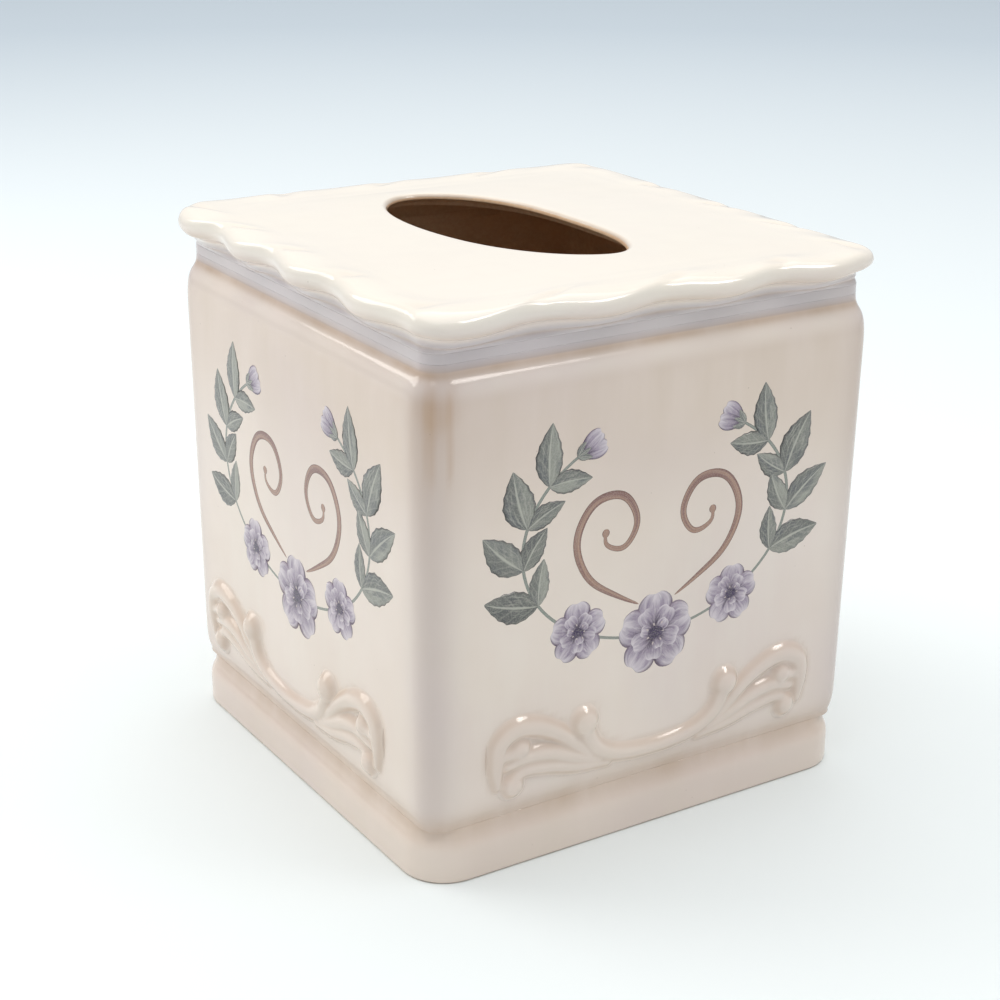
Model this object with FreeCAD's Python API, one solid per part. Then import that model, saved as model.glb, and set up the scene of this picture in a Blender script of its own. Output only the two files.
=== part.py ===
import FreeCAD, Part
import math
import os

# Glazed earthenware tissue box cover: an open-bottomed square box with a scalloped rim, set over
# a cube of tissues. Millimetres, +Z up, origin on the table under the middle, front face towards -Y.

# Square plan: half the width across the shoulder, and how far the members stand in or out of it
half_width = 70.0
wall_draft = 1.1
foot_set_in = 0.4
groove_depth = 1.9
neck_set_in = 3.1
rim_overhang = 4.5

# Corner radii: inside the neck, round the foot and round the rim
inside_corner = 0.9
foot_corner = 12.6
rim_corner = 8.7

# Heights of the mouldings, stacked from the table up
band_height = 9.0
cove_height = 6.0
foot_roll_height = 9.5
wall_height = 103.5
shoulder_height = 8.0
neck_height = 5.0
rim_height = 10.2

# Thickness of the cast clay
wall = 4.4
plate_thickness = 4.0
foot_round = 1.0

# Scalloped rim: how far the lobes reach out, how far they droop, how they lean as they run
# inwards, how unevenly they were pinched round the rim, and how far the rim sank to the right
lobes_per_side = 4
lobe_reach = 1.2
lobe_droop_depth = 0.45
lobe_lean = 11.0
first_lobe = 13.7
lobe_drift_share = 0.16
lobe_drift_cycles = 2
lobe_drift_start_share = 0.54
rim_sag = 0.75
side_steps = 14
corner_steps = 6

# Dispensing opening, an oval cut by hand a little behind and left of the middle, and turned a little
opening_half_width = 21.3
opening_end_margin = 23.5
opening_back_shift = 5.8
opening_left_shift = 2.2
opening_turn = 6.0
opening_round = 1.6

# Acanthus relief low on each face; on two faces it was set a little off the middle
relief_side_margin = 20.0
relief_foot_drop = 4.0
# Its height, the radius of its rolled straps and how deep they sink, as shares of its half span
relief_height_share = 0.41
relief_strap_share = 0.052
relief_sink_share = 0.012
relief_shift_front = 0.9
relief_shift_left = -6.0

# Fired transfer on each face: an oval garland of leaves with three open blossoms at its foot,
# a bud at each end and a pair of curled tendrils inside it
print_thickness = 0.15
garland_width_share = 0.60
garland_foot_margin = 32.0
garland_top_margin = 11.5
leaf_pairs = 4
leaf_spread_angle = 40.0
first_leaf_angle = 62.0
garland_end_angle = 146.0
small_blossom_angle = 36.0
petals = 5

# The garland's motifs, drawn in proportion to its half width
vine_share = 0.029
leaf_length_share = 0.405
leaf_width_share = 0.20
bud_length_share = 0.24
bud_width_share = 0.152
blossom_share = 0.298
small_blossom_share = 0.214
tendril_share = 0.048
# How small the inner leaf of a pair is beside the outer one
inner_leaf_share = 0.74

# One overrun for every cut that passes through
overrun = 3.0

# Stations on the way up
groove_z = band_height + cove_height
wall_foot_z = groove_z + foot_roll_height
wall_top_z = wall_foot_z + wall_height
neck_foot_z = wall_top_z + shoulder_height
neck_top_z = neck_foot_z + neck_height

# Half widths of the members
foot_half = half_width - foot_set_in
groove_half = foot_half - groove_depth
wall_foot_half = half_width - wall_draft
neck_half = half_width - neck_set_in
rim_half = neck_half + rim_overhang
opening_half_length = neck_half - opening_end_margin

# The corners of body and neck turn about axes that stand this far from the middle
body_axis = neck_half - wall - inside_corner

# Places of the relief and of the garland on their wall
relief_half_span = half_width - relief_side_margin
relief_height = relief_half_span * relief_height_share
relief_strap_radius = relief_half_span * relief_strap_share
relief_sink_depth = relief_half_span * relief_sink_share
relief_base = wall_foot_z - relief_foot_drop
garland_half_width = half_width * garland_width_share
garland_half_height = (wall_height - garland_foot_margin - garland_top_margin) / 2
garland_middle = wall_foot_z + garland_foot_margin + garland_half_height

quarter_turn = 90.0
full_turn = 360.0
sides = ("front", "right", "back", "left")
up = FreeCAD.Vector(0, 0, 1)
middle = FreeCAD.Vector(0, 0, 0)

# Bulge of a quarter round, of the hollow of the cove and of the rolled shoulder and foot, as
# shares of the chord
quarter_round_share = (math.sqrt(2) - 1) / 2
cove_share = 0.16
roll_share = 0.13


def spot(out, z):
    """A point of a profile: so far out from the middle, at this height."""
    return FreeCAD.Vector(out, 0, z)


def line(a, b):
    return Part.LineSegment(a, b).toShape()


def rolled(start, end, bulge_share):
    """An arc from start to end whose middle stands off the chord by a share of its length."""
    chord = end - start
    off = FreeCAD.Vector(chord.z, 0, -chord.x) * bulge_share
    return Part.Arc(start, (start + end) * 0.5 + off, end).toShape()


def face_of(edges):
    return Part.Face(Part.Wire(edges))


def lines_through(points):
    """Straight lines from each point to the next."""
    return [line(a, b) for a, b in zip(points, points[1:])]


def around_square(profile, axis_half):
    """Take a profile in the plane y = 0 along the four sides and round the four corners."""
    run = FreeCAD.Vector(0, 2 * axis_half, 0)
    side = profile.translated(FreeCAD.Vector(0, -axis_half, 0)).extrude(run)
    at_corner = profile.translated(FreeCAD.Vector(0, axis_half, 0))
    corner = at_corner.revolve(FreeCAD.Vector(axis_half, axis_half, 0), up, quarter_turn)
    pieces = []
    for turn in range(len(sides)):
        for piece in (side, corner):
            pieces.append(piece.rotated(middle, up, turn * quarter_turn))
    return pieces[0].fuse(pieces[1:]).removeSplitter()


def square_prism(half, corner, z_low, z_high):
    """An upright prism with a rounded square plan."""
    box = Part.makeBox(2 * half, 2 * half, z_high - z_low, FreeCAD.Vector(-half, -half, z_low))
    posts = []
    for edge in box.Edges:
        tall = abs(edge.Vertexes[0].Z - edge.Vertexes[1].Z)
        if tall > (z_high - z_low) / 2:
            posts.append(edge)
    return box.makeFillet(corner, posts)


# Foot: a plain upright band with a coved top that runs in to the groove
def plinth_ring():
    inner_foot = foot_half - wall - foot_round
    inner_top = groove_half - wall
    edges = [
        line(spot(inner_foot, 0), spot(foot_half - foot_round, 0)),
        rolled(spot(foot_half - foot_round, 0), spot(foot_half, foot_round), quarter_round_share),
        line(spot(foot_half, foot_round), spot(foot_half, band_height)),
        rolled(spot(foot_half, band_height), spot(groove_half, groove_z), -cove_share),
        line(spot(groove_half, groove_z), spot(inner_top, groove_z)),
        line(spot(inner_top, groove_z), spot(inner_foot, 0)),
    ]
    return around_square(face_of(edges), foot_half - foot_corner)


# Body: four drafted walls with a rolled foot and a rolled shoulder
def body_wall():
    groove = spot(groove_half, groove_z)
    wall_foot = spot(wall_foot_half, wall_foot_z)
    wall_top = spot(half_width, wall_top_z)
    neck = spot(neck_half, neck_foot_z)
    inwards = FreeCAD.Vector(-wall, 0, 0)
    edges = [
        rolled(groove, wall_foot, roll_share),
        line(wall_foot, wall_top),
        rolled(wall_top, neck, roll_share),
    ]
    inside = [place + inwards for place in (neck, wall_top, wall_foot, groove)]
    edges += lines_through([neck] + inside + [groove])
    return around_square(face_of(edges), body_axis)


# Neck: the short upright band under the rim
def neck_collar():
    inner = neck_half - wall
    outline = [
        spot(inner, neck_foot_z),
        spot(neck_half, neck_foot_z),
        spot(neck_half, neck_top_z),
        spot(inner, neck_top_z),
        spot(inner, neck_foot_z),
    ]
    return around_square(face_of(lines_through(outline)), body_axis)


# Rim sections from the neck out over the bead and in across the top, as shares: how far out
# between neck and rim, how high in the rim, how much of the wave, how much of the lean
rim_section_shares = (
    (0.00, 0.00, 0.00, 0.0),
    (0.05, 0.12, 0.40, 0.0),
    (0.15, 0.17, 0.65, 0.0),
    (0.24, 0.28, 0.80, 0.0),
    (0.45, 0.38, 0.92, 0.0),
    (0.86, 0.46, 1.00, 0.0),
    (1.00, 0.63, 1.00, 0.0),
    (0.91, 0.83, 1.00, 0.1),
    (0.62, 0.95, 0.90, 0.3),
    (0.18, 0.99, 0.75, 0.5),
    (-0.32, 1.00, 0.52, 0.7),
    (-0.84, 0.99, 0.26, 0.9),
    (-1.38, 0.98, 0.08, 1.0),
    (-1.94, 0.98, 0.00, 1.0),
    (-2.50, 0.98, 0.00, 1.0),
)
# The height, as a share of the rim's, at which the neck's small corners have grown to the rim's
corner_grown_share = 0.38


def lobe_wave(turn, run, side_run):
    """1 on the crest of a lobe and -1 between two, at so much run along this side."""
    along_share = run / side_run
    round_share = (turn + along_share) / len(sides)
    drift = math.sin(2 * math.pi * (lobe_drift_cycles * round_share - lobe_drift_start_share))
    return math.cos(2 * math.pi * (lobes_per_side * along_share + lobe_drift_share * drift))


def wavy_ring(out_share, height_share, wave_share, lean_share):
    """One closed line round the rim; each lobe reaches out and droops, and its crest leans inwards."""
    half = neck_half + (rim_half - neck_half) * out_share
    neck_corner = neck_half - body_axis
    grown = min(height_share / corner_grown_share, 1)
    corner = neck_corner + (rim_corner - neck_corner) * grown
    straight = half - corner
    rim_straight = rim_half - rim_corner
    rim_arc = math.radians(quarter_turn) * rim_corner
    side_run = 2 * rim_straight + rim_arc
    lean = lobe_lean * lean_share
    points = []
    for turn in range(len(sides)):
        swing = FreeCAD.Rotation(up, turn * quarter_turn)
        for step in range(side_steps + corner_steps):
            if step < side_steps:
                share = step / side_steps
                outward = FreeCAD.Vector(0, -1, 0)
                place = FreeCAD.Vector(straight * (2 * share - 1), -half, 0)
                run = 2 * rim_straight * share
            else:
                share = (step - side_steps) / corner_steps
                angle = math.radians(quarter_turn * share)
                outward = FreeCAD.Vector(math.sin(angle), -math.cos(angle), 0)
                place = FreeCAD.Vector(straight, -straight, 0) + outward * corner
                run = 2 * rim_straight + rim_arc * share
            wave = lobe_wave(turn, run + rim_corner - first_lobe - lean, side_run) * wave_share
            point = swing.multVec(place + outward * lobe_reach * wave)
            height = neck_top_z + rim_height * height_share - lobe_droop_depth * wave
            height -= rim_sag * height_share * point.x / half_width
            points.append(FreeCAD.Vector(point.x, point.y, height))
    curve = Part.BSplineCurve()
    curve.interpolate(points, PeriodicFlag=True)
    return Part.Wire([curve.toShape()])


def opening_well(top_z):
    """The upright oval well of the opening, its long axis front to back."""
    low = top_z - 2 * plate_thickness
    centre = FreeCAD.Vector(-opening_left_shift, opening_back_shift, low)
    edge = Part.Ellipse(centre, opening_half_length, opening_half_width).toShape()
    outline = Part.Wire([edge.rotated(centre, up, quarter_turn + opening_turn)])
    return Part.Face(outline).extrude(FreeCAD.Vector(0, 0, top_z + overrun - low))


# Top: the flat plate with the scalloped rim drawn out round it and the oval opening through it
def top_plate():
    rings = [wavy_ring(*shares) for shares in rim_section_shares]
    skin = Part.makeLoft(rings, True, False)
    top_z = neck_top_z + rim_height * rim_section_shares[-1][1]
    ceiling = top_z - plate_thickness
    hollow_half = neck_half - wall
    hollow = square_prism(hollow_half, hollow_half - body_axis, neck_top_z - overrun, ceiling)
    plate = skin.cut(hollow).cut(opening_well(top_z))
    lip = []
    for edge in plate.Edges:
        box = edge.BoundBox
        level = box.ZLength < opening_round / 2
        in_well = box.XLength < 3 * opening_half_width and box.ZMin > ceiling - opening_round / 2
        if level and in_well:
            lip.append(edge)
    return plate.makeFillet(opening_round, lip)


# Acanthus strokes of one half of the relief, as shares: across the half span, up the relief
# height, and how thick the rolled clay is there. The other half is its mirror image.
relief_stroke_shares = (
    ((0.00, 0.13, 0.76), (0.14, 0.15, 0.80), (0.28, 0.22, 0.84), (0.38, 0.36, 0.90), (0.43, 0.54, 1.00),
     (0.455, 0.76, 1.20)),
    ((0.42, 0.28, 0.50), (0.51, 0.49, 0.74), (0.62, 0.72, 0.84), (0.75, 0.89, 0.94), (0.88, 0.94, 1.00),
     (0.98, 0.79, 0.98), (1.00, 0.50, 0.84), (0.99, 0.20, 0.50)),
    ((0.98, 0.60, 0.70), (0.92, 0.62, 0.76), (0.87, 0.65, 0.86)),
    ((0.93, 0.44, 0.56), (0.80, 0.52, 0.80), (0.66, 0.47, 0.84), (0.52, 0.32, 0.76), (0.36, 0.17, 0.50)),
    ((0.93, 0.22, 0.50), (0.83, 0.33, 0.70), (0.68, 0.29, 0.74), (0.50, 0.17, 0.66), (0.30, 0.09, 0.44)),
)
relief_bead_shares = ((0.46, 0.77, 1.28), (0.86, 0.65, 0.96), (0.90, 0.15, 0.90))


def relief_spot(across_share, rise_share):
    """A point of the relief on the drafted front face, just under its surface."""
    z = relief_base + relief_height * rise_share
    draft = wall_draft / wall_height
    out = wall_foot_half + (z - wall_foot_z) * draft - relief_sink_depth
    return FreeCAD.Vector(relief_half_span * across_share, -out, z)


def relief_stroke(shares):
    """A rolled, tapering strap of clay through the given spots."""
    spots = [relief_spot(across, rise) for across, rise, thick in shares]
    rings = []
    for index, place in enumerate(spots):
        before = spots[max(index - 1, 0)]
        after = spots[min(index + 1, len(spots) - 1)]
        radius = relief_strap_radius * shares[index][2]
        rings.append(Part.Wire([Part.Circle(place, after - before, radius).toShape()]))
    return Part.makeLoft(rings, True, False)


# Relief: one raised acanthus scroll, luted on the wall it stands on
def relief(body, foot):
    half = [relief_stroke(shares) for shares in relief_stroke_shares]
    for across, rise, thick in relief_bead_shares:
        half.append(Part.makeSphere(relief_strap_radius * thick, relief_spot(across, rise)))
    mirrored = [piece.mirror(middle, FreeCAD.Vector(1, 0, 0)) for piece in half]
    whole = half[0].fuse(half[1:] + mirrored)
    mid_wall = groove_half - wall / 2
    behind = square_prism(mid_wall, mid_wall - body_axis, 0, wall_top_z)
    return whole.cut(body).cut(foot).cut(behind)


# The print's outlines are drawn on a plane in front of the wall, then cut to the wall's own skin
def garland_spot(turn):
    """A spot on the oval garland, turned so many degrees from its foot."""
    angle = math.radians(turn)
    across = garland_half_width * math.sin(angle)
    z = garland_middle - garland_half_height * math.cos(angle)
    return FreeCAD.Vector(across, -half_width - overrun, z)


def garland_heading(turn):
    """The way the vine grows there, from its foot up either side."""
    angle = math.radians(turn)
    grows = FreeCAD.Vector(garland_half_width * math.cos(angle), 0, garland_half_height * math.sin(angle))
    return grows.normalize() * math.copysign(1, turn)


def beside(heading):
    """The direction square to a heading, in the plane of the print."""
    return FreeCAD.Vector(-heading.z, 0, heading.x)


def outer_way(turn):
    """Which side of the growing vine faces out of the oval there."""
    from_middle = garland_spot(turn) - FreeCAD.Vector(0, -half_width - overrun, garland_middle)
    return math.copysign(1, beside(garland_heading(turn)).dot(from_middle))


def leaf(base, pointing, length, width):
    """A pointed leaf, or a bud, out of two arcs."""
    tip = base + pointing * length
    waist = base + pointing * (length / 2)
    swell = beside(pointing) * (width / 2)
    one_side = Part.Arc(base, waist + swell, tip)
    other_side = Part.Arc(tip, waist - swell, base)
    return face_of([one_side.toShape(), other_side.toShape()])


def leaf_pair(turn):
    """Two leaves that spread from the vine, one outwards and one inwards."""
    heading = garland_heading(turn)
    spread = math.radians(leaf_spread_angle)
    pair = []
    for way, size_share in ((outer_way(turn), 1), (-outer_way(turn), inner_leaf_share)):
        pointing = heading * math.cos(spread) + beside(heading) * math.sin(spread) * way
        length = garland_half_width * leaf_length_share * size_share
        width = garland_half_width * leaf_width_share * size_share
        pair.append(leaf(garland_spot(turn), pointing, length, width))
    return pair


# How far the petals lap over each other, as a share of petals that only touch
petal_lap_share = 1.2
heart_share = 0.5


def blossom(centre, radius):
    """Round petals set about a middle."""
    touching = math.sin(math.pi / petals) / (1 + math.sin(math.pi / petals))
    petal_radius = radius * touching * petal_lap_share
    towards = FreeCAD.Vector(0, 1, 0)
    rounds = [Part.Circle(centre, towards, radius * heart_share)]
    for index in range(petals):
        angle = math.radians(quarter_turn + full_turn * index / petals)
        reach = radius - petal_radius
        place = centre + FreeCAD.Vector(reach * math.cos(angle), 0, reach * math.sin(angle))
        rounds.append(Part.Circle(place, towards, petal_radius))
    return [face_of([circle.toShape()]) for circle in rounds]


def ribbon(points, width):
    """A flat ribbon of even width along a smooth line through the points."""
    centre_line = Part.BSplineCurve()
    centre_line.interpolate(points)
    rails = []
    for way in (1, -1):
        rail = []
        for step in range(ribbon_steps + 1):
            at = centre_line.FirstParameter
            at += (centre_line.LastParameter - centre_line.FirstParameter) * step / ribbon_steps
            ahead = FreeCAD.Vector(*centre_line.tangent(at)[0])
            rail.append(centre_line.value(at) + beside(ahead) * (width / 2 * way))
        rails.append(rail)
    edges = []
    for rail in rails:
        side = Part.BSplineCurve()
        side.interpolate(rail)
        edges.append(side.toShape())
    first, second = rails
    return face_of([edges[0], line(first[-1], second[-1]), edges[1], line(second[0], first[0])])


# Steps along a ribbon, where a tendril leaves the middle blossom as shares of that blossom's radius,
# and its curl as shares of the garland's half sizes
ribbon_steps = 24
tendril_root_shares = (0.40, 0.72)
tendril_shares = (
    (0.30, -0.56), (0.52, -0.34), (0.62, 0.02), (0.50, 0.34), (0.28, 0.36), (0.17, 0.10),
    (0.26, -0.12), (0.40, -0.06), (0.40, 0.10),
)


def vine():
    turns = range(ribbon_steps + 1)
    points = [garland_spot(garland_end_angle * (2 * turn / ribbon_steps - 1)) for turn in turns]
    return ribbon(points, garland_half_width * vine_share)


def tendril():
    middle_blossom = garland_half_width * blossom_share
    root_across, root_rise = tendril_root_shares
    root = FreeCAD.Vector(middle_blossom * root_across, 0, middle_blossom * root_rise)
    points = [garland_spot(0) + root]
    for across, rise in tendril_shares:
        z = garland_middle + garland_half_height * rise
        points.append(FreeCAD.Vector(garland_half_width * across, -half_width - overrun, z))
    return ribbon(points, garland_half_width * tendril_share)


def front_skin():
    """The thin layer on the front wall that the print lies in."""
    low = spot(wall_foot_half, wall_foot_z)
    high = spot(half_width, wall_top_z)
    lift = FreeCAD.Vector(print_thickness, 0, 0)
    strip = face_of(lines_through([low, low + lift, high + lift, high, low]))
    strip = strip.translated(FreeCAD.Vector(0, -body_axis, 0))
    skin = strip.extrude(FreeCAD.Vector(0, 2 * body_axis, 0))
    return skin.rotated(middle, up, -quarter_turn)


# Print: the fired transfer, a thin film that lies on the glaze
def garland_print():
    right_side = [tendril()]
    right_side += blossom(garland_spot(small_blossom_angle), garland_half_width * small_blossom_share)
    for index in range(leaf_pairs):
        turn = first_leaf_angle + (garland_end_angle - first_leaf_angle) * index / leaf_pairs
        right_side += leaf_pair(turn)
    end = garland_end_angle
    bud_length = garland_half_width * bud_length_share
    bud_width = garland_half_width * bud_width_share
    bud_base = garland_spot(end) - garland_heading(end) * bud_width / 2
    right_side.append(leaf(bud_base, garland_heading(end), bud_length, bud_width))
    left_side = [piece.mirror(middle, FreeCAD.Vector(1, 0, 0)) for piece in right_side]
    outlines = [vine()] + blossom(garland_spot(0), garland_half_width * blossom_share)
    outlines += right_side + left_side
    depth = FreeCAD.Vector(0, wall + 2 * overrun, 0)
    blocks = [outline.extrude(depth) for outline in outlines]
    whole = blocks[0].fuse(blocks[1:]).removeSplitter()
    return whole.common(front_skin())


def write(name, shape):
    shape.exportStep(os.path.join("parts", name + ".step"))
    print(name, "valid", shape.isValid(), "solids", len(shape.Solids), "volume", round(shape.Volume, 1))


os.makedirs("parts", exist_ok=True)
body = body_wall()
foot = plinth_ring()
write("plinth_ring", foot)
write("body_wall", body)
write("neck_collar", neck_collar())
write("top_plate", top_plate())
front_relief = relief(body, foot)
front_print = garland_print()
relief_shift = {"front": relief_shift_front, "left": relief_shift_left}
for turn, side in enumerate(sides):
    moved = front_relief.translated(FreeCAD.Vector(relief_shift.get(side, 0), 0, 0))
    write("relief_" + side, moved.rotated(middle, up, turn * quarter_turn))
    write("print_" + side, front_print.rotated(middle, up, turn * quarter_turn))
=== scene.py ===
import math
import random

import bmesh
import bpy
import numpy as np
from mathutils import Matrix, Vector


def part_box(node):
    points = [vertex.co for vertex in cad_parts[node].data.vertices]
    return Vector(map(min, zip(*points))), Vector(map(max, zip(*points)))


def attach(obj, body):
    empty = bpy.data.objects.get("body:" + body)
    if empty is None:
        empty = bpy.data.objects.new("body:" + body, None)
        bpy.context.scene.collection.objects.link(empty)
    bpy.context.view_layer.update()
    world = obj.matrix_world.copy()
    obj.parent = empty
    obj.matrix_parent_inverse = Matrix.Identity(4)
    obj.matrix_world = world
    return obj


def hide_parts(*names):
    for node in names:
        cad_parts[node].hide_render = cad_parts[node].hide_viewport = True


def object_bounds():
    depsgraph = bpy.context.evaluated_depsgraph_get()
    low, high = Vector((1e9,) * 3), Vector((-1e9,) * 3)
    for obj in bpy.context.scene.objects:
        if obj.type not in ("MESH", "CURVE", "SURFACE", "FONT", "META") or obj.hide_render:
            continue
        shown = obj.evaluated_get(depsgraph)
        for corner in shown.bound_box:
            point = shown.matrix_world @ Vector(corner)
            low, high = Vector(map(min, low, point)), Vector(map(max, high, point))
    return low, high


# A square glazed earthenware cover that stands over a cube of tissues, with a scalloped rim,
# raised scrollwork and a fired transfer on each face. Metres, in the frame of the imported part:
# +Z up, the front face towards -Y.
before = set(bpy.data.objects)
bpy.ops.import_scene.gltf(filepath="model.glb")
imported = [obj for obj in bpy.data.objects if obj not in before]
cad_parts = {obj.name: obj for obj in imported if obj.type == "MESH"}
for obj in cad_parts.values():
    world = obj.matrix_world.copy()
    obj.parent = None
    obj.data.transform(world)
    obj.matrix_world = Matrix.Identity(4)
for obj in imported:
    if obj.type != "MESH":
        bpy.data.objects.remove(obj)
cad_low, cad_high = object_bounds()
mm = 0.001


# The foot: a plain upright band with a coved top that runs in to the groove, open inside.
# Cast earthenware with the body; glazed outside, and wiped bare where it stands on the table,
# so that the glaze does not stick to the kiln shelf.
foot_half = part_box("plinth_ring")[1].x
groove_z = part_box("plinth_ring")[1].z
groove_depth = 1.9 * mm
groove_half = foot_half - groove_depth
clay = 4.4 * mm
foot_corner = 12.6 * mm
standing_width = 5.4 * mm
cove_height = 5.4 * mm
cove_turn_height = 2.6 * mm
cove_turn_out = 0.35 * mm
side_step = 1.5 * mm
profile_step = 2.0 * mm
profile_arc_steps = 7
corner_steps = 12
groove_shade_reach = 4.0 * mm
glass_index = 1.52


def linear(code):
    """The linear colour, with alpha, of an sRGB hex code."""
    shares = [int(code[i:i + 2], 16) / 255 for i in (1, 3, 5)]
    return [c / 12.92 if c <= 0.04045 else ((c + 0.055) / 1.055) ** 2.4 for c in shares] + [1.0]


def add_node(tree, kind, inputs=None, **settings):
    """Adds a node; inputs gives each socket, by name or number, a value, another node's output or a
    node, which stands for its first output."""
    made = tree.nodes.new(kind)
    for key, value in settings.items():
        setattr(made, key, value)
    for key, value in (inputs or {}).items():
        if isinstance(value, bpy.types.Node):
            value = value.outputs[0]
        if isinstance(value, bpy.types.NodeSocket):
            tree.links.new(value, made.inputs[key])
        else:
            made.inputs[key].default_value = value
    return made


def worked_out(tree, operation, *values, **settings):
    """What a maths node makes of its values."""
    return add_node(tree, "ShaderNodeMath", dict(enumerate(values)), operation=operation, **settings)


def held(tree, name):
    """The number that each point of a mesh holds under a name."""
    return add_node(tree, "ShaderNodeAttribute", attribute_name=name).outputs["Fac"]


def new_material(name):
    """An empty node material, its tree and the place of each spot that it covers."""
    made = bpy.data.materials.new(name)
    made.use_nodes = True
    made.node_tree.nodes.clear()
    return made, made.node_tree, add_node(made.node_tree, "ShaderNodeTexCoord").outputs["Object"]


def bumped(tree, height, depth, beneath=None):
    """A surface that a pattern raises by so much, over the bumps beneath it."""
    inputs = {"Height": height, "Strength": 1.0, "Distance": depth}
    if beneath:
        inputs["Normal"] = beneath
    return add_node(tree, "ShaderNodeBump", inputs)


def fired_surface(tree, colour, roughness, index, bumps):
    """The finished surface of a material, with its refractive index and its bumps."""
    shader = add_node(tree, "ShaderNodeBsdfPrincipled", {
        "Base Color": colour, "Roughness": roughness, "IOR": index, "Normal": bumps})
    add_node(tree, "ShaderNodeOutputMaterial", {"Surface": shader})


def blend_colours(tree, share, first, second):
    """The first colour, with the second laid over it by so much."""
    mixed = add_node(tree, "ShaderNodeMix", {0: share, 6: first, 7: second}, data_type="RGBA")
    return mixed.outputs[2]


def spread(tree, value, low, high, to_low=0.0, to_high=1.0):
    """Maps a value from its range to another, and holds it there."""
    inputs = {0: value, 1: low, 2: high, 3: to_low, 4: to_high}
    return add_node(tree, "ShaderNodeMapRange", inputs, clamp=True)


def layered(tree, colour, layers):
    """A colour with others laid over it. Each has what drives it, the driver's range, how much of it
    shows at both ends of that range, and its code."""
    for driver, low, high, first, last, code in layers:
        colour = blend_colours(tree, spread(tree, driver, low, high, first, last), colour, linear(code))
    return colour


def patches(tree, place, size, detail=2.0, roughness=0.5, distortion=0.0):
    """Soft noise whose patches are about so many metres across."""
    inputs = {"Vector": place, "Scale": 1 / size, "Detail": detail, "Roughness": roughness,
              "Distortion": distortion}
    return add_node(tree, "ShaderNodeTexNoise", inputs)


def rippled(tree, place):
    """The soft ripple of a fired gloss."""
    return bumped(tree, patches(tree, place, 16 * mm, 1.0), 0.12 * mm)


def ivory_glaze():
    """Glossy ivory glaze over earthenware, dipped: it clouds a little where it lies thicker and pools tan in
    its drips and creases. It also carries painted tan shade in the grooves, creases and corners, painted
    mauve sheen in broad patches, painted lavender-grey reflection and shade under the rim and down the
    corners, and painted light that whitens the level top. It has the faint ripple of a fired glass."""
    made, tree, place = new_material("glossy_ivory_glaze")
    clouds = patches(tree, place, 46 * mm, 3.0)
    # Painted sheen: broad mauve-pink patches that stand in for soft reflections on the walls
    painted_sheen_patches = patches(tree, place, 70 * mm, 1.0, distortion=0.6)
    streaks = add_node(tree, "ShaderNodeMapping", {0: place, 3: (1.0, 1.0, 0.22)})
    runs = patches(tree, streaks, 9 * mm, 3.0)
    uneven = spread(tree, runs, 0.3, 0.7, 0.7, 1.1)
    pooled_and_painted_shade = worked_out(tree, "MULTIPLY", held(tree, "pooled_and_painted_shade"), uneven, use_clamp=True)
    specks = add_node(tree, "ShaderNodeTexVoronoi", {"Vector": place, "Scale": 1 / (7 * mm)})
    colour = layered(tree, linear("#F3E5DA"), (
        (clouds, 0.35, 0.7, 0, 1, "#EDDED1"),
        (painted_sheen_patches, 0.45, 0.75, 0, 0.55, "#E3D4D1"),
        (runs, 0.4, 0.8, 0, 0.25, "#F5EEE2"),
        # Painted light: the level top whiter, where the light from above falls on it
        (held(tree, "painted_top_light"), 0, 1, 0, 1, "#FAF5E8"),
        # Painted reflection and shade: lavender-grey under the rim and down the corners
        (held(tree, "painted_cool_shade"), 0, 1, 0, 1, "#B5B0BC"),
        # Tan glaze pooling in drips and creases, with painted shade in grooves, creases, corners and beside
        # the scrolls
        (pooled_and_painted_shade, 0, 1, 0, 1, "#BE9C7C"),
        (specks.outputs["Distance"], 0.022, 0.03, 0.35, 0, "#8A705A")))
    gloss = spread(tree, patches(tree, place, 14 * mm), 0.3, 0.7, 0.07, 0.13)
    peel = patches(tree, place, 1.6 * mm, 1.0)
    fired_surface(tree, colour, gloss, glass_index, bumped(tree, peel, 0.004 * mm, rippled(tree, place)))
    return made


def bare_clay():
    """Biscuit-fired earthenware where no glaze lies: matt, pale buff, with the grain of its grog and
    a few clouds from the kiln."""
    made, tree, place = new_material("bare_buff_biscuit")
    grain = patches(tree, place, 1.2 * mm, 4.0, 0.7)
    clouds = patches(tree, place, 22 * mm, 2.0)
    colour = layered(tree, linear("#D9B38D"), (
        (grain, 0.3, 0.7, 0, 1, "#E6C8A6"),
        (clouds, 0.4, 0.7, 0, 0.5, "#CFA27A")))
    fired_surface(tree, colour, 0.8, 1.5, bumped(tree, grain, 0.05 * mm))
    return made


glaze = ivory_glaze()
biscuit = bare_clay()


def softened(corners):
    """The points of a closed profile whose corners (out, height, reach) are rounded by their reach,
    with long straights divided so that the mesh stays even."""
    points = []
    for index, (out, z, reach) in enumerate(corners):
        here = Vector((out, z))
        before = Vector(corners[index - 1][:2]) - here
        after = Vector(corners[(index + 1) % len(corners)][:2]) - here
        start = here + before.normalized() * min(reach, before.length * 0.49)
        end = here + after.normalized() * min(reach, after.length * 0.49)
        for turn in range(profile_arc_steps + 1):
            share = turn / profile_arc_steps
            points.append(start.lerp(here, share).lerp(here.lerp(end, share), share))
    divided = []
    for index, point in enumerate(points):
        ahead = points[(index + 1) % len(points)]
        pieces = max(1, round((ahead - point).length / profile_step))
        divided += [point.lerp(ahead, piece / pieces) for piece in range(pieces)]
    return divided


def new_tree(name, takes, gives):
    """An empty tree of geometry nodes that takes sockets, by name and type, and gives one."""
    tree = bpy.data.node_groups.new(name, "GeometryNodeTree")
    for socket, kind in takes.items():
        tree.interface.new_socket(socket, in_out="INPUT", socket_type="NodeSocket" + kind)
    tree.interface.new_socket(gives, in_out="OUTPUT", socket_type="NodeSocketGeometry")
    return tree, add_node(tree, "NodeGroupInput").outputs


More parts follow.
